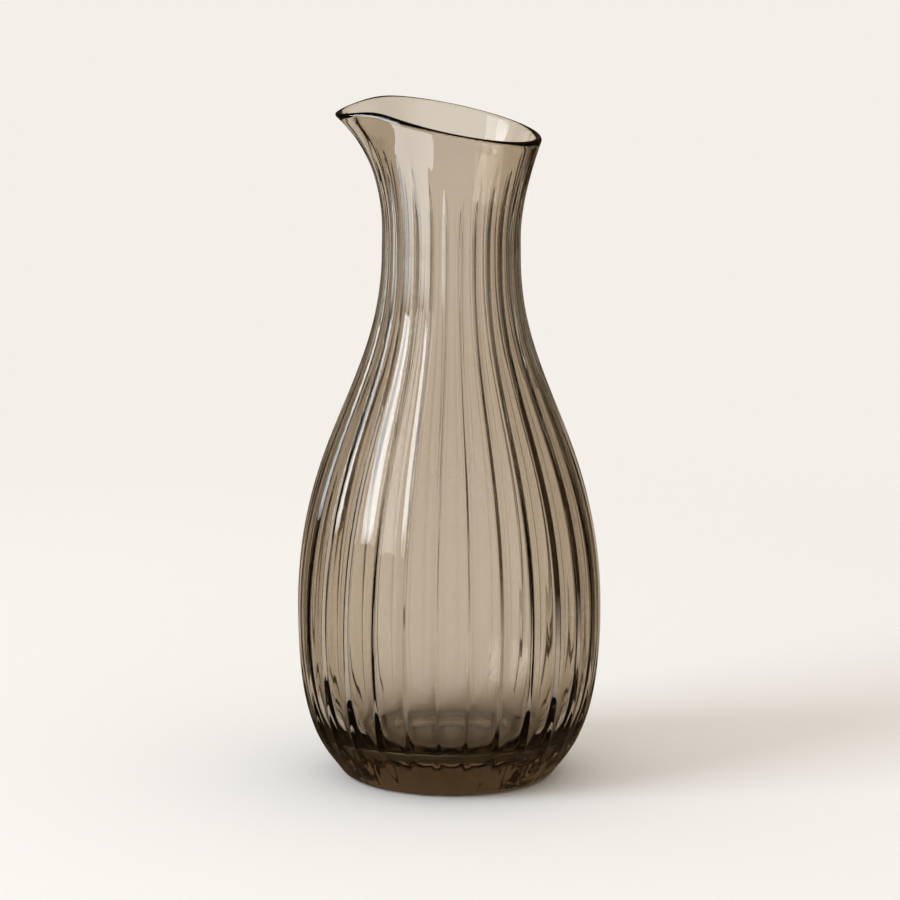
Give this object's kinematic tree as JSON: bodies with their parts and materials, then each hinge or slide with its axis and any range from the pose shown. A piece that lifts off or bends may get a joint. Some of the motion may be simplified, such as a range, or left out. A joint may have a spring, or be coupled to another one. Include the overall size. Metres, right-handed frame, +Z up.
{
  "type": "glass carafe",
  "caption": "Fluted smoke-brown glass carafe with a round belly, a waisted neck and a slanted rim drawn out into a pouring spout, for serving water, wine or juice.",
  "frame": {"origin": "middle of the foot, on the table", "axes": "+Z up along the axis of the body; the spout points along -X, so +X is the low side of the rim; +Y completes the frame"},
  "size_m": [0.1148, 0.1148, 0.2568],
  "materials": {
    "smoke_glass": "clear, fire-polished, tinted smoke brown"
  },
  "bodies": {
    "root": {"carafe_glass": "smoke_glass"}
  },
  "joints": []
}
